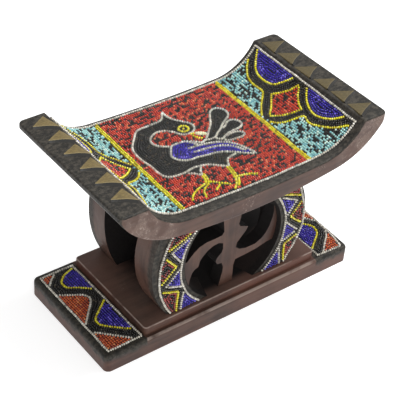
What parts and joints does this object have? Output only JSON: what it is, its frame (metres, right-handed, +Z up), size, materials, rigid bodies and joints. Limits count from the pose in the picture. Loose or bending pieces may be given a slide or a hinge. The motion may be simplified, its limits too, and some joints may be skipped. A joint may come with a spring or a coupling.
{
  "type": "beaded carved stool",
  "caption": "Small carved wooden stool with a curved seat, two pierced ring panels and a stepped base, covered in rows of glass seed beads.",
  "frame": {"origin": "centre of the underside of the base, at the middle of the overall plan", "axes": "+X along the length of the seat and base, +Y from the front panel to the back panel, +Z up"},
  "size_m": [0.303, 0.168, 0.1968],
  "materials": {
    "seat_wood": "dark stained carved wood with a black painted edge, satin, scuffed",
    "panel_wood": "dark stained carved wood with black painted edges",
    "symbol_wood": "dark stained carved wood",
    "slab_wood": "dark stained carved wood with black painted ends",
    "block_wood": "dark stained carved wood, worn on the edges",
    "gold_relief": "dull gold, low relief",
    "white_beads": "opaque glass seed beads",
    "cream_beads": "opaque glass seed beads",
    "yellow_beads": "opaque glass seed beads",
    "red_beads": "opaque glass seed beads, red mixed with black",
    "orange_beads": "opaque glass seed beads",
    "blue_beads": "opaque glass seed beads",
    "turquoise_beads": "opaque glass seed beads, turquoise mixed with black",
    "black_beads": "opaque glass seed beads"
  },
  "bodies": {
    "root": {"back_black_fields": "black_beads", "back_blue_triangles": "blue_beads", "back_red_triangles": "red_beads", "back_ring_panel": "panel_wood", "back_symbol": "symbol_wood", "back_white_strings": "white_beads", "back_yellow_strings": "yellow_beads", "base_block": "block_wood", "base_left_black_serpentine": "black_beads", "base_left_blue_bays": "blue_beads", "base_left_orange_bays": "orange_beads", "base_left_white_strings": "white_beads", "base_left_yellow_strings": "yellow_beads", "base_right_black_serpentine": "black_beads", "base_right_blue_bays": "blue_beads", "base_right_orange_bays": "orange_beads", "base_right_white_strings": "white_beads", "base_right_yellow_strings": "yellow_beads", "base_slab": "slab_wood", "bird_beak_strings": "yellow_beads", "bird_body_field": "black_beads", "bird_egg": "cream_beads", "bird_eye": "yellow_beads", "bird_leg_strings": "yellow_beads", "bird_outline_string": "white_beads", "bird_tail_fields": "black_beads", "bird_tail_strings": "white_beads", "bird_wing_field": "blue_beads", "bird_wing_strings": "white_beads", "front_black_fields": "black_beads", "front_blue_triangles": "blue_beads", "front_red_triangles": "red_beads", "front_ring_panel": "panel_wood", "front_symbol": "symbol_wood", "front_white_strings": "white_beads", "front_yellow_strings": "yellow_beads", "left_end_triangles": "gold_relief", "right_end_triangles": "gold_relief", "seat": "seat_wood", "seat_border_string": "white_beads", "seat_left_arc_strings": "yellow_beads", "seat_left_black_band": "black_beads", "seat_left_diamond": "red_beads", "seat_left_double_string": "yellow_beads", "seat_left_half_discs": "blue_beads", "seat_left_turquoise_field": "turquoise_beads", "seat_red_field": "red_beads", "seat_right_arc_strings": "yellow_beads", "seat_right_black_band": "black_beads", "seat_right_diamond": "red_beads", "seat_right_double_string": "yellow_beads", "seat_right_half_discs": "blue_beads", "seat_right_turquoise_field": "turquoise_beads"}
  },
  "joints": []
}
